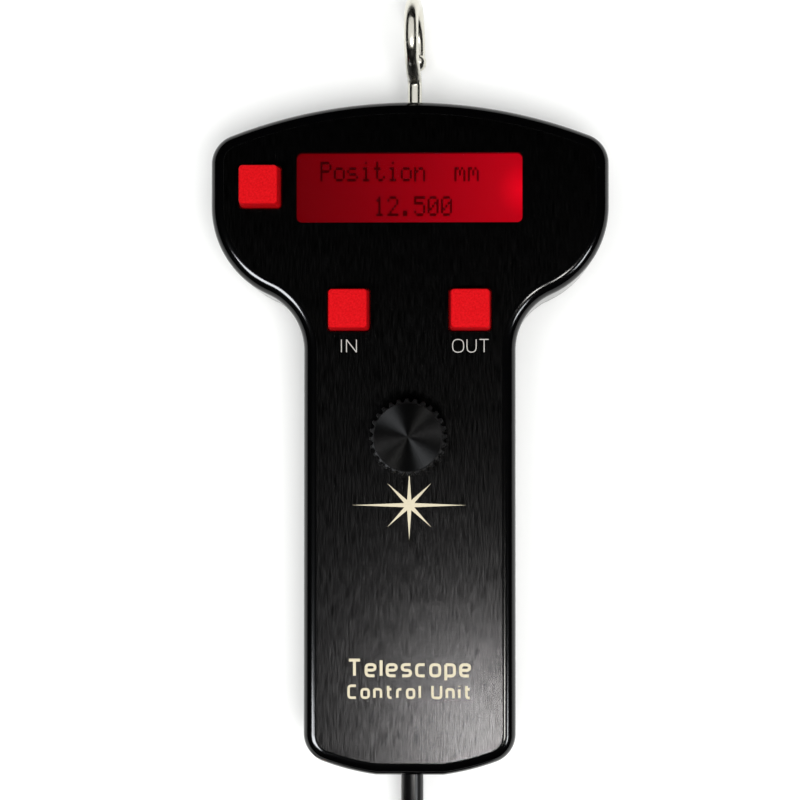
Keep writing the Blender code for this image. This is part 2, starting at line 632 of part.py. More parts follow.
def free_cord(jacket_look, tie_look, plug_look):
    tube("cord_lead", beyond_coil(smooth_route(LEAD_ROUTE, 0.002)), CORD_RADIUS, jacket_look)
    tail = beyond_coil(smooth_route(TAIL_ROUTE, 0.002))
    end = (tail[-1][0], tail[-1][1] - 0.0003, tail[-1][2])
    tube("cord_tail", [*tail[:-1], end], CORD_RADIUS, jacket_look)
    inner, outer = COIL_INNER - CORD_RADIUS, COIL_OUTER + CORD_RADIUS
    low, high = COIL_LIFT, COIL_LIFT + COIL_HEIGHT
    ring = [(outer, low + COIL_EDGE), (outer, high - COIL_EDGE), (outer - COIL_EDGE, high)]
    ring += [(inner, high), (inner, low), (outer - COIL_EDGE, low)]
    add("cord_coil", turned(ring, 48, closed=True), jacket_look, (*COIL_CENTRE, 0.0))
    near = math.sqrt(inner**2 - (TIE_WIDE / 2) ** 2)
    middle = ((near + outer) / 2, (low + high) / 2)
    wide, deep = outer - near + 2 * GAP, high - low + 2 * GAP
    within = rectangle(wide, deep, middle)
    around = rectangle(wide + 2 * TIE_THICK, deep + 2 * TIE_THICK, middle)
    half = TIE_WIDE / 2
    loops = [(within, -half), (around, -half), (around, half), (within, half)]
    strap = lofted([[(x, y, z) for x, z in loop] for loop, y in loops], closed=True)
    add("cord_tie", strap, tie_look, (*COIL_CENTRE, 0.0))
    x, y, z = TAIL_ROUTE[-1]
    boot = turned([(BOOT_RADII[0], 0.0), (BOOT_RADII[1], BOOT_LONG)], 16)
    add("plug_boot", boot, jacket_look, (x, y, z), (-math.pi / 2, 0.0, 0.0))
    wide, long, high = PLUG
    start = y + BOOT_LONG + 0.0003
    body = prism(rectangle(wide, long, (0.0, long / 2)), 0.0, high)
    body = add("plug_body", body, plug_look, (x, start, 0.0))
    latch_wide, latch_long, latch_high = LATCH
    latch = lofted(
        [
            [(px, long - 0.001, pz) for px, pz in rectangle(latch_wide, latch_high, (0.0, high))],
            [(px, long - latch_long, pz) for px, pz in rectangle(latch_wide, latch_high, (0.0, high + 0.0022))],
        ]
    )
    join(body, latch, (x, start, 0.0))


def build():
    for leftover in list(bpy.data.objects):
        bpy.data.objects.remove(leftover)
    anodised = material("black_anodised", (0.012, 0.012, 0.013), 0.32, 0.6)
    steel = material("plated_steel", (0.62, 0.61, 0.58), 0.22, 1.0)
    screw_steel = material("black_screw_steel", (0.03, 0.03, 0.03), 0.35, 0.8)
    brass = material("brass", (0.60, 0.45, 0.20), 0.35, 1.0)
    red = material("red_plastic", (0.80, 0.02, 0.03), 0.45)
    dark = material("dark_plastic", (0.02, 0.02, 0.02), 0.5)
    white = material("pale_plastic", (0.75, 0.73, 0.68), 0.5)
    board = material("board_green", (0.02, 0.16, 0.06), 0.45)
    smoked = material("window_pane", (0.35, 0.01, 0.01), 0.08)
    lit = material("lcd_red", (0.70, 0.01, 0.02), 0.25)
    jacket = material("cord_jacket", (0.012, 0.012, 0.012), 0.38)
    rubber = material("rubber", (0.02, 0.02, 0.02), 0.7)
    clear = material("clear_plastic", (0.70, 0.72, 0.74), 0.15)

    front_shell(anodised)
    back_cover(anodised)
    screws(screw_steel)
    display(smoked, lit, white, dark)
    circuit_board(board, dark, white)
    for name, place in KEYS.items():
        key(name, place, red, dark, white)
    axis = encoder(dark, brass, steel, white)
    knob(anodised, steel, axis)
    cable_entry(rubber, jacket, dark)
    hook(steel)
    free_cord(jacket, rubber, clear)


build()
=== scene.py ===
"""The looks of the hand controller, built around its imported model, in metres and in the model's frame."""

import math

import bmesh
import bpy
from mathutils import Matrix, Vector
from mathutils.geometry import interpolate_bezier


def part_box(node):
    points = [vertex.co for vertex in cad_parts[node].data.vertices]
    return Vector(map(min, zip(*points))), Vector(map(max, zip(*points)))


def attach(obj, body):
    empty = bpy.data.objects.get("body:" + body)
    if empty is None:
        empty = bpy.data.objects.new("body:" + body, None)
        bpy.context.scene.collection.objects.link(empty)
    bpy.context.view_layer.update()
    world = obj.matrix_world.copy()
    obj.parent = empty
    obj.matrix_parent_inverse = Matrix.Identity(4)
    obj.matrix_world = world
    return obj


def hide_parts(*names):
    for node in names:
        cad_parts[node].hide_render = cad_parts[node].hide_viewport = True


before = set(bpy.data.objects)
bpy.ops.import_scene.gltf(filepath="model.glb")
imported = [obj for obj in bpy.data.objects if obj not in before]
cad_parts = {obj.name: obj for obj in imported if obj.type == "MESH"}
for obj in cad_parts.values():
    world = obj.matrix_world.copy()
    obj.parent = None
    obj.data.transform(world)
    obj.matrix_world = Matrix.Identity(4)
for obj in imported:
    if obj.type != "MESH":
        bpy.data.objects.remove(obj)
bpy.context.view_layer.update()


def middle(node):
    low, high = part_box(node)
    return (low + high) / 2


def extent(node):
    low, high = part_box(node)
    return high - low


# The case, as the model has it.
SHELL_LOW, SHELL_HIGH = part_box("front_shell")
COVER_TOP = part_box("back_cover")[1].z
CASE_TOP = SHELL_HIGH.y
CASE_FOOT = SHELL_LOW.y
HEAD_HALF = SHELL_HIGH.x
FACE_Z = SHELL_HIGH.z
GRIP_HALF = 0.0234
CROWN_RADIUS = 0.1100
TOP_CORNER = 0.0068
SHOULDER_Y = 0.0512
SHOULDER_RADIUS = 0.0214
WAIST_RADIUS = 0.0136
FOOT_RADIUS = 0.0551
FOOT_BULGE = 0.0005
FOOT_CORNER = 0.0066
ROUND_OVER = 0.0030
FACE_INSET = 0.0031
FACE_STEP = 0.0004
STEP_EDGE = 0.00001
WALL = 0.0029
CEILING = 0.0176
SEAM = 0.00008
EDGE = 0.00012
COVER_EDGE = 0.0012
SCREW_HOLE = 0.00135
BUSH_HOLE = 0.0037
CORD_HOLE = 0.0037
HOLE_DEPTH = 0.010
WINDOW = (0.0496, 0.0153)
WINDOW_CORNER = 0.0012
PANE_SEAT = 0.0186
PANE_PLAY = 0.0004
KEY_HOLE = 0.0095
KEY_FLANGE = 0.0104
KEY_BODY = 0.0090
KEY_TOP = 0.0084
KEY_EDGE = 0.00035
KEY_CORNER = 0.0008
LABEL_LIFT = 0.00003
SHARP_ANGLE = math.radians(32)
ORIGIN = (0.0, 0.0, 0.0)
UPRIGHT = (0.0, 0.0, 0.0)
KEY_NAMES = ("menu", "in", "out")

# The hook's wire, as the model has it, with its path given as (y, z) from the shank's axis.
HOOK_SHANK = (0.0685, 0.0793)
HOOK_WIRE = 0.0016
HOOK_HOLE = 0.0019
HOOK_BEND = 0.0024
HOOK_LOOP = 0.0082
LOOP_CENTRE = (0.0897, 0.0003)
LOOP_TURNS = (math.radians(11), math.radians(277))
HOOK_BALL = 0.0020
HOOK_TILT = math.radians(-4)

# The free cord's route, as the model has it.
CORD_RADIUS = 0.0025
LEAD_ROUTE = [
    (0.0004, -0.0745, 0.0099),
    (0.0004, -0.0800, 0.0098),
    (0.0004, -0.0860, 0.0092),
    (0.0004, -0.0920, 0.0079),
    (0.0024, -0.1017, 0.0054),
    (0.0080, -0.1099, 0.0038),
]
TAIL_ROUTE = [
    (-0.0374, -0.1440, 0.0081),
    (-0.0374, -0.1370, 0.0075),
    (-0.0374, -0.1300, 0.0057),
    (-0.0374, -0.1245, 0.0042),
    (-0.0374, -0.1200, 0.0036),
    (-0.0374, -0.1160, 0.0036),
]
COIL_CENTRE = (0.0020, -0.1520)
COIL_OUTER = 0.0394
COIL_LOW = 0.0032
COIL_TURNS = 4.3
RISE_TURNS = 0.5
ALL_TURNS = 9.69
JOIN_ANGLE = math.radians(68.7)
TURN_STEPS = 60


def node(tree, kind, inputs=None, **settings):
    """A shader node, with its inputs linked to a socket or set to a value."""
    made = tree.nodes.new(kind)
    for key, value in settings.items():
        setattr(made, key, value)
    for key, value in (inputs or {}).items():
        if isinstance(value, bpy.types.NodeSocket):
            tree.links.new(value, made.inputs[key])
        else:
            made.inputs[key].default_value = value
    return made


def material(name, colour, roughness, metallic=0.0, **inputs):
    """A Principled material; further inputs are given by name, with _ for a space."""
    made = bpy.data.materials.new(name)
    made.use_nodes = True
    shader = made.node_tree.nodes["Principled BSDF"]
    shader.inputs["Base Color"].default_value = (*colour, 1.0)
    shader.inputs["Roughness"].default_value = roughness
    shader.inputs["Metallic"].default_value = metallic
    for key, value in inputs.items():
        shader.inputs[key.replace("_", " ")].default_value = value
    return made


def shader_of(look):
    return look.node_tree.nodes["Principled BSDF"]


def noise(tree, stretch, detail=2.0, roughness=0.5):
    """Noise in the piece's own metres, with stretch cells to the metre along each axis."""
    place = node(tree, "ShaderNodeTexCoord").outputs["Object"]
    scaled = node(tree, "ShaderNodeMapping", {"Vector": place, "Scale": stretch}).outputs["Vector"]
    inputs = {"Vector": scaled, "Scale": 1.0, "Detail": detail, "Roughness": roughness}
    return node(tree, "ShaderNodeTexNoise", inputs).outputs["Fac"]


def remap(tree, value, low, high, start=0.0, end=1.0):
    inputs = {"Value": value, "From Min": start, "From Max": end, "To Min": low, "To Max": high}
    return node(tree, "ShaderNodeMapRange", inputs).outputs["Result"]


def add_bump(look, height, distance, strength=1.0, under=None):
    """Tilts the surface's normal by a height map; returns the normal, for a further bump."""
    tree = look.node_tree
    inputs = {"Height": height, "Distance": distance, "Strength": strength}
    if under is not None:
        inputs["Normal"] = under
    normal = node(tree, "ShaderNodeBump", inputs).outputs["Normal"]
    tree.links.new(normal, shader_of(look).inputs["Normal"])
    return normal


def mottle(look, colour, other, share):
    """The base colour wanders between two colours."""
    tree = look.node_tree
    mixed = node(tree, "ShaderNodeMix", data_type="RGBA")
    tree.links.new(share, mixed.inputs["Factor"])
    mixed.inputs["A"].default_value = (*colour, 1.0)
    mixed.inputs["B"].default_value = (*other, 1.0)
    tree.links.new(mixed.outputs["Result"], shader_of(look).inputs["Base Color"])


def vary_roughness(look, value, low, high):
    tree = look.node_tree
    tree.links.new(remap(tree, value, low, high, 0.3, 0.7), shader_of(look).inputs["Roughness"])


def brushed_face():
    """Black anodised face, brushed along Y in streaks about a quarter of a millimetre wide."""
    look = material("anodised_face", (0.02, 0.02, 0.02), 0.19, 1.0)
    tree = look.node_tree
    fine = noise(tree, (3600.0, 250.0, 200.0), 2.0, 0.6)
    vary_roughness(look, fine, 0.17, 0.215)
    add_bump(look, fine, 0.000006)
    mottle(look, (0.007, 0.007, 0.007), (0.033, 0.0325, 0.0325), remap(tree, fine, 0.0, 1.0, 0.3, 0.7))
    return look


def satin_rim():
    look = material("anodised_rim", (0.0006, 0.0006, 0.0007), 0.12, Specular_IOR_Level=0.3)
    tree = look.node_tree
    grain = noise(tree, (5000.0, 5000.0, 5000.0), 2.0)
    vary_roughness(look, grain, 0.11, 0.13)
    add_bump(look, grain, 0.000002)
    return look


def red_key():
    look = material("key_red", (0.54, 0.003, 0.006), 0.5, Specular_IOR_Level=0.05)
    tree = look.node_tree
    grain = noise(tree, (2400.0, 2400.0, 2400.0), 3.0, 0.7)
    broad = noise(tree, (500.0, 500.0, 500.0), 1.0)
    patches = remap(tree, grain, 0.0, 1.0, 0.35, 0.65)
    mottle(look, (0.44, 0.001, 0.003), (0.62, 0.004, 0.008), patches)
    vary_roughness(look, broad, 0.45, 0.6)
    add_bump(look, grain, 0.00015, 0.8)
    return look


def turned_metal(name):
    """Black anodised metal with turning marks round Z, which smear its highlight into two wedges."""
    look = material(name, (0.001, 0.001, 0.001), 0.34, Anisotropic=1.0, Specular_IOR_Level=0.13)
    tree = look.node_tree
    tangent = node(tree, "ShaderNodeTangent", direction_type="RADIAL", axis="Z").outputs["Tangent"]
    tree.links.new(tangent, shader_of(look).inputs["Tangent"])
    place = node(tree, "ShaderNodeTexCoord").outputs["Object"]
    in_plane = {0: place, 1: (1.0, 1.0, 0.0)}
    flat = node(tree, "ShaderNodeVectorMath", in_plane, operation="MULTIPLY").outputs["Vector"]
    radius = node(tree, "ShaderNodeVectorMath", {0: flat}, operation="LENGTH").outputs["Value"]
    inputs = {"W": radius, "Scale": 9000.0, "Detail": 2.0}
    marks = node(tree, "ShaderNodeTexNoise", inputs, noise_dimensions="1D").outputs["Fac"]
    add_bump(look, marks, 0.000004)
    return look


def plated(name, colour, roughness):
    look = material(name, colour, roughness, 1.0)
    tree = look.node_tree
    smear = noise(tree, (900.0, 300.0, 900.0), 2.0)
    vary_roughness(look, smear, roughness * 0.7, roughness * 1.5)
    add_bump(look, noise(tree, (2500.0, 2500.0, 2500.0), 2.0), 0.000002)
    return look


def moulded(name, colour, roughness, grain=2500.0, depth=0.00001, **inputs):
    """Moulded plastic or rubber: a fine grain and a slightly uneven gloss."""
    look = material(name, colour, roughness, **inputs)
    tree = look.node_tree
    speck = noise(tree, (grain, grain, grain), 2.0)
    vary_roughness(look, noise(tree, (150.0, 150.0, 150.0), 1.0), roughness * 0.85, roughness * 1.2)
    darker = tuple(0.85 * part for part in colour)
    lighter = tuple(min(1.0, 1.15 * part) for part in colour)
    mottle(look, darker, lighter, speck)
    add_bump(look, speck, depth)
    return look


def woven(name, colour):
    """The looped fabric of a hook-and-loop strap."""
    look = material(name, colour, 0.9, Sheen_Weight=0.6, Sheen_Roughness=0.4)
    tree = look.node_tree
    place = node(tree, "ShaderNodeTexCoord").outputs["Object"]
    loops = node(tree, "ShaderNodeTexVoronoi", {"Vector": place, "Scale": 2200.0}).outputs["Distance"]
    add_bump(look, loops, 0.0001)
    mottle(look, tuple(0.5 * part for part in colour), tuple(2.0 * part for part in colour), loops)
    return look


def lit_display(name, share):
    """The backlit glass: red, dim at the left, with a bright spot at the right; share dims all of it."""
    look = material(name, (0.002, 0.0, 0.0), 0.5, Specular_IOR_Level=0.0)
    tree = look.node_tree
    low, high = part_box("lcd_glass")
    place = node(tree, "ShaderNodeTexCoord").outputs["Object"]
    across = node(tree, "ShaderNodeSeparateXYZ", {"Vector": place}).outputs["X"]
    along = remap(tree, across, 0.0, 1.0, low.x, high.x)
    ramp = node(tree, "ShaderNodeFloatCurve", {"Value": along})
    curve = ramp.mapping.curves[0]
    curve.points[0].location = (0.0, 0.13)
    curve.points[1].location = (1.0, 0.50)
    curve.points.new(0.5, 0.25)
    curve.points.new(0.7, 0.34)
    curve.points.new(0.87, 0.43)
    lamp = Vector((WINDOW[0] / 2 + 0.0005, middle("lcd_glass").y, high.z))
    apart = node(tree, "ShaderNodeVectorMath", {0: place, 1: lamp}, operation="DISTANCE").outputs["Value"]
    spot = remap(tree, apart, 0.34, 0.0, 0.0, 0.0062)
    lively = remap(tree, noise(tree, (2600.0, 2600.0, 2600.0), 2.0), 0.93, 1.07)
    total = ramp.outputs["Value"]
    for operation, value in (("ADD", spot), ("MULTIPLY", lively), ("MULTIPLY", share)):
        total = node(tree, "ShaderNodeMath", {0: total, 1: value}, operation=operation).outputs["Value"]
    shader = shader_of(look)
    shader.inputs["Emission Color"].default_value = (1.0, 0.001, 0.014, 1.0)
    tree.links.new(total, shader.inputs["Emission Strength"])
    return look


def arc(centre, radius, start, end, steps):
    """The points of an arc, both ends included."""
    angles = [start + (end - start) * step / steps for step in range(steps + 1)]
    return [(centre[0] + radius * math.cos(angle), centre[1] + radius * math.sin(angle)) for angle in angles]


def toward(start, end):
    return math.atan2(end[1] - start[1], end[0] - start[0])


def outline(inset=0.0):
    """The case's outline moved inwards by inset, anticlockwise, always with the same number of points."""
    crown = (0.0, CASE_TOP - CROWN_RADIUS)
    corner_x = HEAD_HALF - TOP_CORNER
    corner = (corner_x, crown[1] + math.sqrt((CROWN_RADIUS - TOP_CORNER) ** 2 - corner_x**2))
    shoulder = (HEAD_HALF - SHOULDER_RADIUS, SHOULDER_Y)
    waist_x = GRIP_HALF + WAIST_RADIUS
    reach = math.sqrt((SHOULDER_RADIUS + WAIST_RADIUS) ** 2 - (waist_x - shoulder[0]) ** 2)
    waist = (waist_x, SHOULDER_Y - reach)
    foot = (0.0, CASE_FOOT - FOOT_BULGE + FOOT_RADIUS)
    heel_x = GRIP_HALF - FOOT_CORNER
    heel = (heel_x, foot[1] - math.sqrt((FOOT_RADIUS - FOOT_CORNER) ** 2 - heel_x**2))
    flat_end = math.asin((CASE_FOOT + inset - foot[1]) / (FOOT_RADIUS - inset))
    turn = toward(waist, shoulder)
    right = (
        arc(foot, FOOT_RADIUS - inset, flat_end, toward(foot, heel), 8)
        + arc(heel, FOOT_CORNER - inset, toward(foot, heel), 0.0, 18)[1:]
        + arc(waist, WAIST_RADIUS + inset, math.pi, turn, 22)
        + arc(shoulder, SHOULDER_RADIUS - inset, turn - math.pi, 0.0, 26)[1:]
        + arc(corner, TOP_CORNER - inset, 0.0, toward(crown, corner), 18)
        + arc(crown, CROWN_RADIUS - inset, toward(crown, corner), math.pi / 2, 18)[1:]
    )
    return right + [(-x, y) for x, y in reversed(right[:-1])]


def rectangle(width, height, centre=(0.0, 0.0)):
    x, y = centre
    return [
        (x - width / 2, y - height / 2),
        (x + width / 2, y - height / 2),
        (x + width / 2, y + height / 2),
        (x - width / 2, y + height / 2),
    ]


def rounded(width, height, radius, centre=(0.0, 0.0), steps=8):
    corners = rectangle(width - 2 * radius, height - 2 * radius, centre)
    points = []
    for quarter, corner in enumerate(corners, start=2):
        points += arc(corner, radius, quarter * math.pi / 2, (quarter + 1) * math.pi / 2, steps)
    return points


def polygon(radius, sides):
    return arc((0.0, 0.0), radius, 0.0, math.tau, sides)[:-1]


def level(points, height):
    return [(x, y, height) for x, y in points]


def lofted(rings, closed=False):
    """A solid skinned over rings of as many points each, capped at its ends, or a loop if closed."""
    shape = bmesh.new()
    loops = [[shape.verts.new(point) for point in ring] for ring in rings]
    pairs = list(zip(loops, loops[1:]))
    if closed:
        pairs.append((loops[-1], loops[0]))
    else:
        shape.faces.new(reversed(loops[0]))
        shape.faces.new(loops[-1])
    for low, high in pairs:
        for here in range(len(low)):
            after = (here + 1) % len(low)
            shape.faces.new((low[here], low[after], high[after], high[here]))
    bmesh.ops.recalc_face_normals(shape, faces=shape.faces)
    return shape


def prism(points, low, high):
    return lofted([level(points, low), level(points, high)])


def turned(profile, sides=64, closed=False):
    return lofted([level(polygon(radius, sides), height) for radius, height in profile], closed)


def edged(widths, corner, steps=8):
    """A block of rounded rectangles, given as (width, length, height) from the bottom up."""
    rings = []
    for width, length, height in widths:
        radius = min(corner, width / 2.01, length / 2.01)
        rings.append(level(rounded(width, length, radius, steps=steps), height))
    return lofted(rings)


def softened(width, length, low, high, edge, corner, steps=4):
    """A block with rounded corners and rounded upper and lower edges."""
    widths = []
    for part in range(steps + 1):
        angle = math.pi / 2 * part / steps
        loss = 2 * edge * (1 - math.sin(angle))
        widths.append((width - loss, length - loss, low + edge * (1 - math.cos(angle))))
    for part in range(steps + 1):
        angle = math.pi / 2 * part / steps
        loss = 2 * edge * (1 - math.cos(angle))
        widths.append((width - loss, length - loss, high - edge * (1 - math.sin(angle))))
    return edged(widths, corner)


def swept(path, radii, sides):
    """A round bar along a path of (y, z) points in the plane x = 0, with a radius at each point."""
    rings = []
    last = len(path) - 1
    for place, (y, z) in enumerate(path):
        before = path[max(place - 1, 0)]
        after = path[min(place + 1, last)]
        run = math.hypot(after[0] - before[0], after[1] - before[1])
        normal = (-(after[1] - before[1]) / run, (after[0] - before[0]) / run)
        rings.append([(a, y + b * normal[0], z + b * normal[1]) for a, b in polygon(radii[place], sides)])
    return lofted(rings)


def add(name, shape, look, body="case", replaces=(), location=ORIGIN, rotation=UPRIGHT):
    """A piece of the object, from a bmesh."""
    mesh = bpy.data.meshes.new(name)
    shape.to_mesh(mesh)
    shape.free()
    return place_piece(name, mesh, look, body, replaces, location, rotation)


def place_piece(name, data, look, body, replaces=(), location=ORIGIN, rotation=UPRIGHT):
    """A piece of the object, from a mesh or a curve."""
    data.materials.append(look)
    if isinstance(data, bpy.types.Mesh):
        data.shade_smooth()
        data.set_sharp_from_angle(angle=SHARP_ANGLE)
    piece = bpy.data.objects.new(name, data)
    piece.location = location
    piece.rotation_euler = rotation
    bpy.context.scene.collection.objects.link(piece)
    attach(piece, body)
    if replaces:
        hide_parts(*replaces)
    return piece


def carve(piece, tools):
    """Cuts each tool, given as (bmesh, location, rotation), out of the piece for good."""
    helpers = []
    for number, (shape, location, rotation) in enumerate(tools):
        mesh = bpy.data.meshes.new(f"{piece.name}.tool{number}")
        shape.to_mesh(mesh)
        shape.free()
        helper = bpy.data.objects.new(mesh.name, mesh)
        helper.location = location
        helper.rotation_euler = rotation
        bpy.context.scene.collection.objects.link(helper)
        modifier = piece.modifiers.new(mesh.name, "BOOLEAN")
        modifier.object = helper
        helpers.append(helper)
    graph = bpy.context.evaluated_depsgraph_get()
    mesh = bpy.data.meshes.new_from_object(piece.evaluated_get(graph))
    piece.modifiers.clear()
    piece.data = mesh
    for helper in helpers:
        bpy.data.objects.remove(helper)
    mesh.shade_smooth()
    mesh.set_sharp_from_angle(angle=SHARP_ANGLE)


def lip_tool(width, height, corner, centre):
    """A hole through the face, with its upper edge broken."""
    low, lip = CEILING - 0.001, EDGE
    sizes = [(0.0, low), (0.0, FACE_Z - lip), (2 * lip, FACE_Z + lip)]
    return lofted([level(rounded(width + 2 * g, height + 2 * g, corner + g, centre), z) for g, z in sizes])


def case_shell(rim_look, face_look):
    top = FACE_Z - FACE_STEP
    rim = arc((ROUND_OVER, top - ROUND_OVER), ROUND_OVER, math.pi, math.pi / 2, 16)
    low = COVER_TOP + SEAM
    section = [(WALL, CEILING), (WALL, low), (2 * EDGE, low), (0.0, low + 2 * EDGE), *rim]
    section += [(FACE_INSET, top), (FACE_INSET, FACE_Z - STEP_EDGE), (FACE_INSET + STEP_EDGE, FACE_Z)]
    shape = lofted([level(outline(inset), height) for inset, height in section])
    shell = add("case_shell", shape, rim_look, replaces=["front_shell"])
    display = middle("display_window")
    seat = extent("display_window")
    pane_seat = rectangle(seat.x + PANE_PLAY, seat.y + PANE_PLAY, (display.x, display.y))
    tools = [
        (lip_tool(*WINDOW, WINDOW_CORNER, (display.x, display.y)), ORIGIN, UPRIGHT),
        (prism(pane_seat, CEILING - 0.001, PANE_SEAT), ORIGIN, UPRIGHT),
        (turned([(BUSH_HOLE, CEILING - 0.001), (BUSH_HOLE, FACE_Z + 0.001)]), ORIGIN, UPRIGHT),
    ]
    for key in KEY_NAMES:
        spot = middle(f"{key}_button")
        tools.append((lip_tool(KEY_HOLE, KEY_HOLE, KEY_CORNER, (spot.x, spot.y)), ORIGIN, UPRIGHT))
    hook_spot = middle("hook_nut")
    hook_hole = turned([(HOOK_HOLE, 0.0), (HOOK_HOLE, HOLE_DEPTH)], 32)
    tools.append((hook_hole, (hook_spot.x, CASE_TOP - 0.006, hook_spot.z), (-math.pi / 2, 0.0, 0.0)))
    cord_spot = middle("cable_grommet")
    cord_hole = turned([(CORD_HOLE, 0.0), (CORD_HOLE, HOLE_DEPTH)], 48)
    tools.append((cord_hole, (cord_spot.x, CASE_FOOT + 0.006, cord_spot.z), (math.pi / 2, 0.0, 0.0)))
    carve(shell, tools)
    shell.data.materials.append(face_look)
    for face in shell.data.polygons:
        if face.normal.z > 0.999 and face.center.z > FACE_Z - STEP_EDGE / 2:
            face.material_index = 1


def case_back(rim_look, screw_look):
    rim = arc((COVER_EDGE, COVER_EDGE), COVER_EDGE, math.pi * 1.5, math.pi, 10)
    section = [*rim, (0.0, COVER_TOP - 2 * EDGE), (2 * EDGE, COVER_TOP)]
    shape = lofted([level(outline(inset), height) for inset, height in section])
    cover = add("case_cover", shape, rim_look, replaces=["back_cover"])
    sink = [(0.00275, -0.001), (0.00275, 0.0), (0.0026, 0.00025), (SCREW_HOLE, 0.0015)]
    sink.append((SCREW_HOLE, COVER_TOP + 0.001))
    spots = [middle(f"back_screw_{number}") for number in range(1, 7)]
    carve(cover, [(turned(sink, 40), (spot.x, spot.y, 0.0), UPRIGHT) for spot in spots])
    for number, spot in enumerate(spots, start=1):
        place = (spot.x, spot.y, 0.0)
        turn = (0.0, 0.0, 0.7 * number)
        name = f"back_screw_{number}"
        add(f"{name}_fine", socket_screw(), screw_look, "case", [name], place, turn)


def hexagon(across, sides=48):
    """A hexagon drawn with as many points as a circle has, to be skinned to one."""
    sixth = math.pi / 3
    points = []
    for x, y in polygon(1.0, sides):
        angle = math.atan2(y, x)
        radius = across / 2 / math.cos((angle + sixth / 2) % sixth - sixth / 2)
        points.append((radius * x, radius * y))
    return points


def socket_screw():
    """A countersunk screw, head down, with a hexagonal socket."""
    low = 0.00015
    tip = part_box("back_screw_1")[1].z
    shank = [(0.0006, tip), (0.00095, tip - 0.0004), (0.00095, 0.0017)]
    head = [(0.00228, low + 0.0002), (0.00235, low + 0.0001), (0.0023, low)]
    rings = [level(polygon(radius, 48), z) for radius, z in shank + head]
    rings += [level(hexagon(0.0016), z) for z in (low, low + 0.00075)]
    return lofted(rings)


def keys(look):
    for name in KEY_NAMES:
        low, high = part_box(f"{name}_button")
        spot = (low + high) / 2
        sizes = [(KEY_FLANGE, low.z), (KEY_FLANGE, low.z + 0.0008)]
        sizes += [(KEY_BODY, low.z + 0.00085), (KEY_BODY, FACE_Z)]
        for part in range(7):
            angle = math.pi / 2 * part / 6
            size = KEY_TOP - 2 * KEY_EDGE * (1 - math.cos(angle))
            sizes.append((size, high.z - KEY_EDGE * (1 - math.sin(angle))))
        widths = [(size, size, z) for size, z in sizes]
        place = (spot.x, spot.y, 0.0)
        cap = edged(widths, KEY_CORNER)
        add(f"{name}_key_cap", cap, look, f"{name}_key", [f"{name}_button"], place)


def flute_ring(radius, depth, per=10, flutes=28):
    """A circle with round-bottomed grooves; the ridges between them are rounded too."""
    points = []
    for step in range(per * flutes):
        share = step / per % 1.0
        sunk = depth * max(0.0, math.sin(math.pi * min(1.0, max(0.0, (share - 0.32) / 0.68)))) ** 0.8
        angle = math.tau * step / (per * flutes)
        points.append(((radius - sunk) * math.cos(angle), (radius - sunk) * math.sin(angle)))
    return points


def knob(side_look, top_look, screw_look):
    low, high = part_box("knob")
    levels = [
        (0.0066, 0.0, low.z + 0.0002),
        (0.0079, 0.0004, low.z),
        (0.0083, 0.0007, low.z + 0.0004),
        (0.0083, 0.0008, high.z - 0.0013),
        (0.00822, 0.0008, high.z - 0.0010),
        (0.0080, 0.0006, high.z - 0.00075),
        (0.0077, 0.00025, high.z - 0.0006),
        (0.0075, 0.0, high.z - 0.0006),
        (0.0074, 0.0, high.z - 0.00055),
        (0.0074, 0.0, high.z - 0.00015),
        (0.00725, 0.0, high.z),
        (0.0004, 0.0, high.z),
    ]
    shape = lofted([level(flute_ring(radius, depth), z) for radius, depth, z in levels])
    piece = add("knob_fluted", shape, side_look, "knob", ["knob"])
    piece.data.materials.append(top_look)
    hollow = turned([(0.0065, low.z - 0.001), (0.0065, 0.0240)], 48)
    bore = turned([(0.00315, low.z - 0.001), (0.00315, 0.0293)], 48)
    side_hole = turned([(0.0016, 0.001), (0.0016, 0.010)], 24)
    sideways = (0.0, math.pi / 2, 0.0)
    place = (0.0, 0.0, middle("knob_set_screw").z)
    carve(piece, [(hollow, ORIGIN, UPRIGHT), (bore, ORIGIN, UPRIGHT), (side_hole, place, sideways)])
    for face in piece.data.polygons:
        if face.normal.z > 0.95 and face.center.z > high.z - 0.0001:
            face.material_index = 1
    start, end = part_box("knob_set_screw")
    grub = [(0.0009, start.x), (0.0014, start.x + 0.0004), (0.0014, end.x)]
    rings = [level(polygon(radius, 48), z) for radius, z in grub]
    rings += [level(hexagon(0.0013), z) for z in (end.x, end.x - 0.0012)]
    add("knob_grub_screw", lofted(rings), screw_look, "knob", ["knob_set_screw"], place, sideways)


def loop_point(turn):
    """A point of the hook's loop, counted from its bottom and first towards the face."""
    return (LOOP_CENTRE[0] - HOOK_LOOP * math.cos(turn), LOOP_CENTRE[1] + HOOK_LOOP * math.sin(turn))


def hook(look):
    start, end = LOOP_TURNS
    sweep = math.pi / 2 - start
    bend = arc((HOOK_SHANK[1], HOOK_BEND), HOOK_BEND, -math.pi / 2, -math.pi / 2 + sweep, 14)
    steps = 90
    loop = [loop_point(start + (end - start) * step / steps) for step in range(1, steps + 1)]
    path = [(HOOK_SHANK[0], 0.0), *bend, *loop]
    radii = [HOOK_WIRE] * len(path)
    for share in (-0.68, -0.6, -0.45, -0.25, 0.0, 0.25, 0.45, 0.62, 0.76, 0.87, 0.94, 0.985):
        path.append(loop_point(end + (1.0 + share) * HOOK_BALL / HOOK_LOOP))
        radii.append(HOOK_BALL * math.sqrt(1.0 - share**2))
    spot = middle("hook_nut")
    place = (spot.x, 0.0, spot.z)
    lean = (0.0, HOOK_TILT, 0.0)
    add("hook_wire", swept(path, radii, 28), look, "case", ["hook"], place, lean)


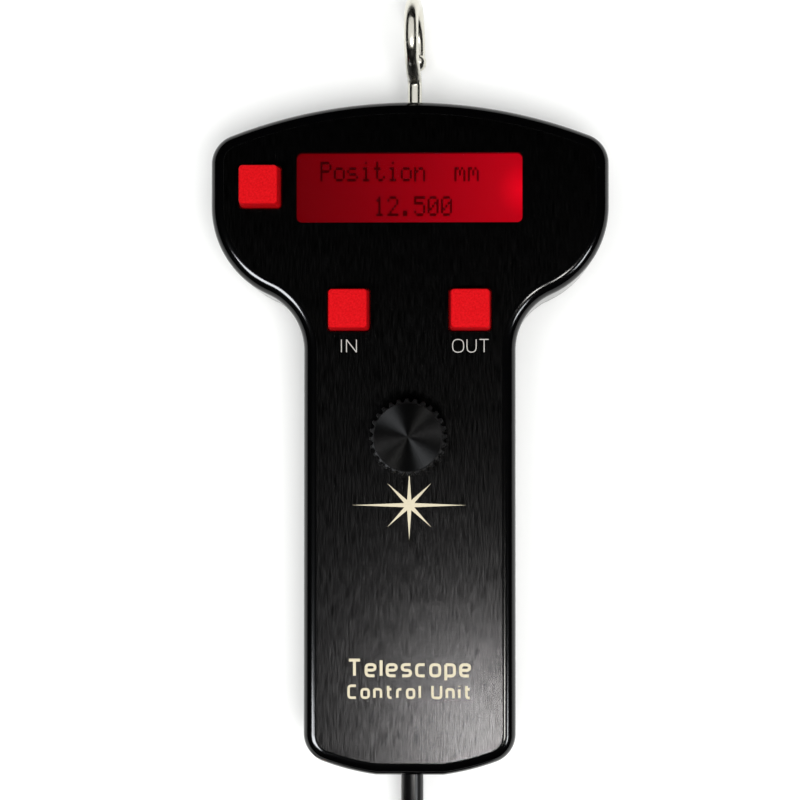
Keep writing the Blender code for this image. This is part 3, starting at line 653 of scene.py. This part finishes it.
def grommet(look):
    low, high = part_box("cable_grommet")
    spot = (low + high) / 2
    profile = [(0.0034, -low.y - 0.0001), (0.0035, -low.y - 0.0003), (0.0035, 0.0714), (0.0049, 0.0714)]
    profile += [(0.0050, 0.0712), (0.0050, -high.y), (0.0027, -high.y)]
    profile += [(0.0027, -low.y - 0.0004), (0.0030, -low.y)]
    turn = (math.pi / 2, 0.0, 0.0)
    shape = turned(profile, 64, closed=True)
    add("cord_grommet", shape, look, "case", ["cable_grommet"], (spot.x, 0.0, spot.z), turn)


def smooth_route(points, spacing):
    """Points about spacing apart on a smooth curve through the given ones, its tangents along the chords."""
    ends = [points[0], *points, points[-1]]
    tangents = [tuple((b - a) / 6 for a, b in zip(ends[i], ends[i + 2])) for i in range(len(points))]
    route = [points[0]]
    for place in range(len(points) - 1):
        start, end = points[place], points[place + 1]
        handles = (
            tuple(a + t for a, t in zip(start, tangents[place])),
            tuple(b - t for b, t in zip(end, tangents[place + 1])),
        )
        steps = max(1, round(math.dist(start, end) / spacing))
        route += [tuple(point) for point in interpolate_bezier(start, *handles, end, steps + 1)[1:]]
    return route


def coil_points():
    """Two flat layers, wound clockwise: inwards below, up at the middle, and outwards on top."""
    pitch = 2 * CORD_RADIUS
    points = []
    for step in range(round(ALL_TURNS * TURN_STEPS) + 1):
        turn = ALL_TURNS * step / round(ALL_TURNS * TURN_STEPS)
        inwards = min(turn, COIL_TURNS)
        outwards = min(max(0.0, turn - COIL_TURNS - RISE_TURNS), COIL_TURNS)
        radius = COIL_OUTER - pitch * (inwards - outwards)
        climb = min(1.0, max(0.0, (turn - COIL_TURNS) / RISE_TURNS))
        height = COIL_LOW + pitch * climb * climb * (3 - 2 * climb)
        angle = JOIN_ANGLE - math.tau * turn
        x = COIL_CENTRE[0] + radius * math.cos(angle)
        y = COIL_CENTRE[1] + radius * math.sin(angle)
        points.append((x, y, height))
    return points


def make_cord(look):
    coil = coil_points()
    lead = smooth_route([*LEAD_ROUTE, coil[0], coil[6]], 0.0015)
    joined = lead[: lead.index(min(lead, key=lambda point: math.dist(point, coil[0])))]
    tail = smooth_route([coil[-7], coil[-1], *TAIL_ROUTE], 0.0015)
    left = tail[tail.index(min(tail, key=lambda point: math.dist(point, coil[-1]))) + 1 :]
    points = [*joined, *coil, *left]
    curve = bpy.data.curves.new("cord", "CURVE")
    curve.dimensions = "3D"
    curve.bevel_depth = CORD_RADIUS
    curve.bevel_resolution = 6
    curve.use_fill_caps = True
    spline = curve.splines.new("POLY")
    spline.points.add(len(points) - 1)
    for place, point in zip(spline.points, points):
        place.co = (*point, 1.0)
    spline.use_smooth = True
    stretches = ["cord_lead", "cord_coil", "cord_tail"]
    return place_piece("cord", curve, look, "case", stretches)


def make_tie(look):
    """A strap once round the turns, with its free end lapped over the start."""
    low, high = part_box("cord_tie")
    thick = 0.0005
    wide = high.y - low.y
    centre = (low + high) / 2
    width, depth = high.x - low.x, high.z - low.z
    inside = rounded(width - 2 * thick, depth - 2 * thick, 0.0022, (centre.x, centre.z), 8)
    outside = rounded(width, depth, 0.0027, (centre.x, centre.z), 8)
    half = wide / 2
    inset = 0.00012
    loops = [(inside, -half), (outside, -half + inset), (outside, half - inset), (inside, half)]
    shape = lofted([[(x, centre.y + y, z) for x, z in loop] for loop, y in loops], closed=True)
    strap = add("tie_strap", shape, look, "case", ["cord_tie"])
    lap = softened(0.014, wide - 0.0006, high.z + 0.00003, high.z + 0.0006, 0.00015, 0.002)
    flap = add("tie_end", lap, look, "case", location=(centre.x + 0.002, centre.y, 0.0))
    return strap, flap


def make_boot(look):
    """The moulded strain relief behind the plug, ribbed along its length."""
    low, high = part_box("plug_boot")
    spot = (low + high) / 2
    long = high.y - low.y
    profile = [(0.0026, 0.0), (0.0029, 0.0001)]
    ribs = 5
    pitch = (long - 0.004) / ribs
    for rib in range(ribs):
        start = 0.0008 + rib * pitch
        end = start + 0.6 * pitch
        radius = 0.0029 + 0.0004 * rib / ribs
        profile += [(radius, start), (radius, end), (radius - 0.0003, end + 0.00015)]
        profile += [(radius - 0.0003, start + pitch - 0.00015)]
    profile += [(0.0034, long - 0.0030), (0.0034, long - 0.0002), (0.0032, long)]
    profile += [(0.00255, long), (0.00255, 0.0002)]
    turn = (-math.pi / 2, 0.0, 0.0)
    place = (spot.x, low.y, spot.z)
    shape = turned(profile, 40, closed=True)
    return add("cord_boot", shape, look, "case", ["plug_boot"], place, turn)


def make_plug(clear_look, gold_look, wire_looks):
    """A clear eight-way modular plug: body, spring latch, contacts and the wires that show through."""
    low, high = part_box("plug_body")
    centre = (low + high) / 2
    width = high.x - low.x
    long = high.y - low.y
    body_top = 0.0066
    body = softened(width, long, low.z, body_top, 0.0003, 0.0004)
    place = (centre.x, centre.y, 0.0)
    shell = add("plug_shell", body, clear_look, "case", ["plug_body"], place)
    latch_rings = []
    for share in (0.0, 0.25, 0.5, 0.75, 1.0):
        y = long / 2 - 0.001 - 0.0145 * share
        z = body_top + 0.0001 + 0.0023 * share**1.4
        half = 0.003 if share < 0.6 else 0.0022
        latch_rings.append([(x, y, z + dz) for x, dz in rectangle(2 * half, 0.0007, (0.0, 0.0003))])
    latch = add("plug_latch", lofted(latch_rings), clear_look, "case", location=place)
    pieces = [shell, latch]
    for way in range(8):
        x = (way - 3.5) * 0.00102
        lengths = [(0.0034, 0.0), (0.0034, 0.0019), (0.0028, 0.0022)]
        blade = edged([(0.00035, length, height) for length, height in lengths], 0.0001, 3)
        spot = (centre.x + x, high.y - 0.0024, low.z + 0.0003)
        pieces.append(add(f"plug_contact_{way + 1}", blade, gold_look, "case", location=spot))
        path = [(-0.0098, 0.0036), (-0.004, 0.0034), (0.002, 0.0028), (0.0078, 0.0027)]
        wire = swept(path, [0.00045] * len(path), 12)
        for point in wire.verts:
            spread = min(1.0, (point.co.y + 0.0098) / 0.006)
            point.co.x += x * spread + (1 - spread) * 0.0011 * math.sin(2.4 * way)
        look = wire_looks[way % len(wire_looks)]
        pieces.append(add(f"plug_wire_{way + 1}", wire, look, "case", location=place))
    return pieces


# Each letter's width and strokes, for capitals one unit high and small letters X high.
X = 0.72
GLYPHS = {
    " ": (0.10, []),
    "C": (0.62, [[(0.62, 1.0), (0.0, 1.0), (0.0, 0.0), (0.62, 0.0)]]),
    "I": (0.0, [[(0.0, 0.0), (0.0, 1.0)]]),
    "N": (0.78, [[(0.0, 0.0), (0.0, 1.0)], [(0.0, 1.0), (0.78, 0.0)], [(0.78, 0.0), (0.78, 1.0)]]),
    "O": (0.86, [[(0.43, 1.0), (0.0, 1.0), (0.0, 0.0), (0.86, 0.0), (0.86, 1.0), (0.43, 1.0)]]),
    "T": (0.72, [[(0.0, 1.0), (0.72, 1.0)], [(0.36, 1.0), (0.36, 0.0)]]),
    "U": (0.72, [[(0.0, 1.0), (0.0, 0.0), (0.72, 0.0), (0.72, 1.0)]]),
    "c": (0.52, [[(0.52, X), (0.0, X), (0.0, 0.0), (0.52, 0.0)]]),
    "e": (0.58, [[(0.0, 0.36), (0.58, 0.36), (0.58, X), (0.0, X), (0.0, 0.0), (0.54, 0.0)]]),
    "i": (0.0, [[(0.0, 0.0), (0.0, X)], [(0.0, 0.95), (0.0, 1.0)]]),
    "l": (0.0, [[(0.0, 0.0), (0.0, 1.0)]]),
    "n": (0.56, [[(0.0, 0.0), (0.0, X)], [(0.0, X), (0.56, X), (0.56, 0.0)]]),
    "o": (0.58, [[(0.29, X), (0.0, X), (0.0, 0.0), (0.58, 0.0), (0.58, X), (0.29, X)]]),
    "p": (0.56, [[(0.0, -0.28), (0.0, X)], [(0.0, X), (0.56, X), (0.56, 0.0), (0.0, 0.0)]]),
    "r": (0.34, [[(0.0, 0.0), (0.0, X), (0.34, X)]]),
    "s": (0.54, [[(0.54, X), (0.0, X), (0.0, 0.36), (0.54, 0.36), (0.54, 0.0), (0.0, 0.0)]]),
    "t": (0.40, [[(0.12, 1.0), (0.12, 0.0), (0.40, 0.0)], [(0.0, X), (0.38, X)]]),
}


def with_round_corners(points, radius, steps=5):
    """A broken line with each inner corner rounded, as far as the stretches beside it allow."""
    rounded_line = [points[0]]
    for before, corner, after in zip(points, points[1:], points[2:]):
        ends = []
        for other in (before, after):
            stretch = math.dist(other, corner)
            free = stretch if other in (points[0], points[-1]) else stretch / 2
            share = min(radius, free) / stretch
            ends.append(tuple(c + share * (o - c) for c, o in zip(corner, other)))
        for step in range(steps + 1):
            part = step / steps
            weights = ((1 - part) ** 2, 2 * part * (1 - part), part**2)
            places = zip(ends[0], corner, ends[1])
            rounded_line.append(tuple(sum(w * c for w, c in zip(weights, place)) for place in places))
    return [*rounded_line, points[-1]]


def stroke_label(name, words, centre, width, height, stroke, look, corner=0.24):
    """Words in thin even strokes, printed on the face and spaced to a given width."""
    letters = sum(GLYPHS[letter][0] for letter in words)
    gap = (width / height - letters) / (len(words) - 1)
    curve = bpy.data.curves.new(name, "CURVE")
    curve.dimensions = "3D"
    curve.bevel_depth = stroke / 2
    curve.bevel_resolution = 3
    curve.use_fill_caps = True
    start = -width / height / 2
    for letter in words:
        advance, strokes = GLYPHS[letter]
        for line in strokes:
            points = with_round_corners(line, corner)
            spline = curve.splines.new("POLY")
            spline.points.add(len(points) - 1)
            for place, (x, y) in zip(spline.points, points):
                place.co = ((start + x) * height, (y - 0.5) * height, 0.0, 1.0)
        start += advance + gap
    curve.materials.append(look)
    piece = bpy.data.objects.new(name, curve)
    piece.location = (*centre, FACE_Z)
    piece.scale = (1.0, 1.0, 2 * LABEL_LIFT / stroke)
    bpy.context.scene.collection.objects.link(piece)
    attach(piece, "case")


def face_mark(look):
    """A plain star of eight thin rays below the knob."""
    rays = [0.0126, 0.0068, 0.0076, 0.0068] * 2
    notch = 0.0012
    points = []
    for number, ray in enumerate(rays):
        angle = math.tau * number / len(rays)
        between = angle + math.pi / len(rays)
        points.append((ray * math.cos(angle), ray * math.sin(angle)))
        points.append((notch * math.cos(between), notch * math.sin(between)))
    star = prism(points, FACE_Z - LABEL_LIFT, FACE_Z + LABEL_LIFT)
    add("mark_star", star, look, "case", location=(0.0, -0.0148, 0.0))


# The display's characters, each as seven rows of five dots.
DOTS = {
    "P": "11110 10001 10001 11110 10000 10000 10000",
    "o": "00000 00000 01110 10001 10001 10001 01110",
    "s": "00000 00000 01110 10000 01110 00001 11110",
    "i": "00100 00000 01100 00100 00100 00100 01110",
    "t": "01000 01000 11100 01000 01000 01001 00110",
    "n": "00000 00000 10110 11001 10001 10001 10001",
    "m": "00000 00000 11010 10101 10101 10001 10001",
    "1": "00100 01100 00100 00100 00100 00100 01110",
    "2": "01110 10001 00001 00010 00100 01000 11111",
    "5": "11111 10000 11110 00001 00001 10001 01110",
    "0": "01110 10001 10011 10101 11001 10001 01110",
    ".": "00000 00000 00000 00000 00000 01100 01100",
    " ": "00000 00000 00000 00000 00000 00000 00000",
}


def display_text(look):
    """The display's characters, five dots by seven, as thin plates on the glass."""
    glass_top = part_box("lcd_glass")[1].z
    centre = middle("lcd_glass")
    dot = (0.00049, 0.00063)
    pitch = (0.000495, 0.000635)
    cell = 0.002965
    first_x = centre.x - 0.0198
    rows = [(centre.y + 0.0062, 0, "Position  mm"), (centre.y - 0.0015, 4, "12.500")]
    shape = bmesh.new()
    for top, column, words in rows:
        for place, letter in enumerate(words, start=column):
            for down, line in enumerate(DOTS[letter].split()):
                for right, lit in enumerate(line):
                    if lit == "1":
                        x = first_x + place * cell + (right + 0.5) * pitch[0]
                        y = top - (down + 0.5) * pitch[1]
                        size = Matrix.Diagonal((*dot, 0.00002, 1.0))
                        where = Matrix.Translation((x, y, glass_top + 0.00003))
                        bmesh.ops.create_cube(shape, size=1.0, matrix=where @ size)
    add("display_dots", shape, look, "case")


def paint_kept_nodes(looks):
    """Gives every CAD node that still shows its finish."""
    for name, look in looks.items():
        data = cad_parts[name].data
        data.materials.clear()
        data.materials.append(look)


def area_light(name, place, size, power, colour, seen_in, only_for=()):
    """A lamp facing down that only lights matt surfaces, or only shows in glossy ones, as seen_in says.

    With only_for, it reaches only the pieces with those names.
    """
    data = bpy.data.lights.new(name, "AREA")
    data.shape = "RECTANGLE"
    data.size, data.size_y = size
    data.energy = power
    data.color = colour
    light = bpy.data.objects.new(name, data)
    light.location = place
    light.visible_diffuse = seen_in == "matt"
    light.visible_glossy = seen_in == "gloss"
    bpy.context.scene.collection.objects.link(light)
    if only_for:
        receivers = bpy.data.collections.new(f"{name}_receivers")
        for receiver in only_for:
            receivers.objects.link(bpy.data.objects[receiver])
        light.light_linking.receiver_collection = receivers


def studio():
    """A white table and backdrop, two soft lamps, and the panels that glossy surfaces mirror."""
    floor = bpy.data.meshes.new("table_top")
    reach = 4.0
    floor.from_pydata(level(rectangle(2 * reach, 2 * reach), -0.00005), [], [(0, 1, 2, 3)])
    paper = material("table_white", (0.93, 0.93, 0.915), 0.7)
    add_bump(paper, noise(paper.node_tree, (400.0, 400.0, 400.0), 3.0), 0.00002)
    floor.materials.append(paper)
    table = bpy.data.objects.new("table_top", floor)
    bpy.context.scene.collection.objects.link(table)

    white, cool, warm = (1.0, 1.0, 1.0), (0.93, 0.96, 1.0), (1.0, 0.98, 0.94)
    area_light("main_lamp", (0.15, -0.22, 0.70), (0.40, 0.40), 4.1, white, "matt")
    area_light("fill_lamp", (-0.35, -0.10, 0.70), (0.45, 0.45), 1.2, white, "matt")
    area_light("face_panel", (0.04, -0.286, 1.20), (0.05, 0.10), 2.05, (1.0, 0.98, 0.98), "gloss")
    left_seen = ["case_shell", "knob_fluted"]
    area_light("left_panel", (-0.85, -0.585, 1.37), (0.78, 0.49), 42.0, cool, "gloss", left_seen)
    area_light("right_panel", (0.46, -0.31, 1.20), (0.15, 0.17), 3.6, warm, "gloss")
    area_light("far_panel", (1.30, -0.62, 1.20), (0.34, 0.50), 17.0, cool, "gloss", ["case_shell", "cord"])
    area_light("hook_panel", (0.10, 0.45, 0.90), (1.8, 1.4), 7.2, white, "gloss", ["hook_wire"])

    world = bpy.data.worlds.new("studio")
    bpy.context.scene.world = world
    world.use_nodes = True
    backdrop = world.node_tree.nodes["Background"]
    backdrop.inputs["Color"].default_value = (0.98, 0.99, 1.0, 1.0)
    backdrop.inputs["Strength"].default_value = 0.7
    world.cycles_visibility.glossy = False
    bpy.context.scene.view_settings.view_transform = "Standard"


def camera():
    """Nearly straight above the face, framed a little off its axis."""
    data = bpy.data.cameras.new("camera")
    data.sensor_width = 36.0
    data.lens = 69.12
    data.shift_x = -0.04
    data.shift_y = 0.04
    eye = bpy.data.objects.new("camera", data)
    eye.location = (0.0105, -0.0028, 0.3563)
    eye.rotation_euler = (math.radians(0.684), math.radians(0.940), math.radians(0.015))
    bpy.context.scene.collection.objects.link(eye)
    bpy.context.scene.camera = eye


camera()
jacket = moulded("cord_jacket", (0.003, 0.003, 0.0033), 0.3, 900.0, 0.000008, Specular_IOR_Level=0.3)
strap_look = woven("strap_fabric", (0.012, 0.012, 0.013))
gold = plated("contact_gold", (0.85, 0.62, 0.25), 0.25)
clear = material("plug_clear", (0.9, 0.92, 0.93), 0.08, Transmission_Weight=0.9, IOR=1.45)
add_bump(clear, noise(clear.node_tree, (300.0, 300.0, 300.0), 2.0), 0.00002)
wire_colours = [(0.75, 0.72, 0.66), (0.85, 0.3, 0.04), (0.7, 0.7, 0.7), (0.02, 0.1, 0.5), (0.03, 0.3, 0.06)]
wires = [moulded(f"wire_{number}", colour, 0.4) for number, colour in enumerate(wire_colours)]
cord = make_cord(jacket)
on_cord = [*make_tie(strap_look), make_boot(jacket), *make_plug(clear, gold, wires)]

rim = satin_rim()
black_steel = plated("black_oxide", (0.03, 0.03, 0.032), 0.3)
steel = plated("bright_steel", (0.62, 0.61, 0.58), 0.22)
nickel = plated("bright_nickel", (0.80, 0.79, 0.74), 0.07)
rubber = moulded("grommet_rubber", (0.010, 0.010, 0.010), 0.6)
dark = moulded("dark_plastic", (0.02, 0.02, 0.02), 0.5)
pale = moulded("pale_plastic", (0.70, 0.68, 0.62), 0.5)
brass = plated("turned_brass", (0.60, 0.45, 0.20), 0.3)
board = moulded("board_mask", (0.015, 0.14, 0.05), 0.35, 1200.0)
cream = moulded("mark_cream", (0.60, 0.54, 0.39), 0.75, 6000.0, 0.00001)
grey_print = moulded("label_grey", (0.47, 0.46, 0.43), 0.7, 6000.0, 0.00001)
knob_side = moulded("knob_side", (0.004, 0.004, 0.0042), 0.42, 4000.0, 0.000004, Specular_IOR_Level=0.12)
pane = material("window_pane", (1.0, 1.0, 1.0), 0.0, Transmission_Weight=1.0, IOR=1.1)

case_shell(rim, brushed_face())
case_back(rim, black_steel)
keys(red_key())
knob(knob_side, turned_metal("knob_turned"), steel)
hook(plated("worn_nickel", (0.74, 0.72, 0.64), 0.2))
grommet(rubber)
display_text(lit_display("lcd_dark_dots", 0.20))
stroke_label("label_in", "IN", (-0.01325, 0.0201), 0.0033, 0.0028, 0.00022, grey_print)
stroke_label("label_out", "OUT", (0.01345, 0.0201), 0.0079, 0.0028, 0.00022, grey_print, 0.42)
face_mark(cream)
stroke_label("label_first", "Telescope", (0.0, -0.0504), 0.0264, 0.0034, 0.00066, cream)
stroke_label("label_second", "Control Unit", (0.0, -0.0556), 0.0265, 0.0026, 0.00056, cream)
finishes = {"display_window": pane, "lcd_glass": lit_display("lcd_lit", 1.0), "main_board": board}
finishes |= {"encoder_bush": brass, "hook_nut": nickel, "inner_cable": jacket}
for look, names in (
    (pale, ["lcd_backlight", "cable_header", "cable_housing", "encoder_rotor"]),
    (pale, [f"{key}_plunger" for key in KEY_NAMES]),
    (dark, [f"{key}_switch" for key in KEY_NAMES]),
    (dark, ["lcd_pin_strip", "controller_chip", "voltage_regulator", "encoder_body", "cable_clamp"]),
    (steel, [f"board_screw_{number}" for number in range(1, 5)]),
    (steel, ["clamp_screw_1", "clamp_screw_2", "encoder_shaft", "encoder_washer", "encoder_nut"]),
):
    finishes |= dict.fromkeys(names, look)
paint_kept_nodes(finishes)
studio()

bpy.context.view_layer.update()
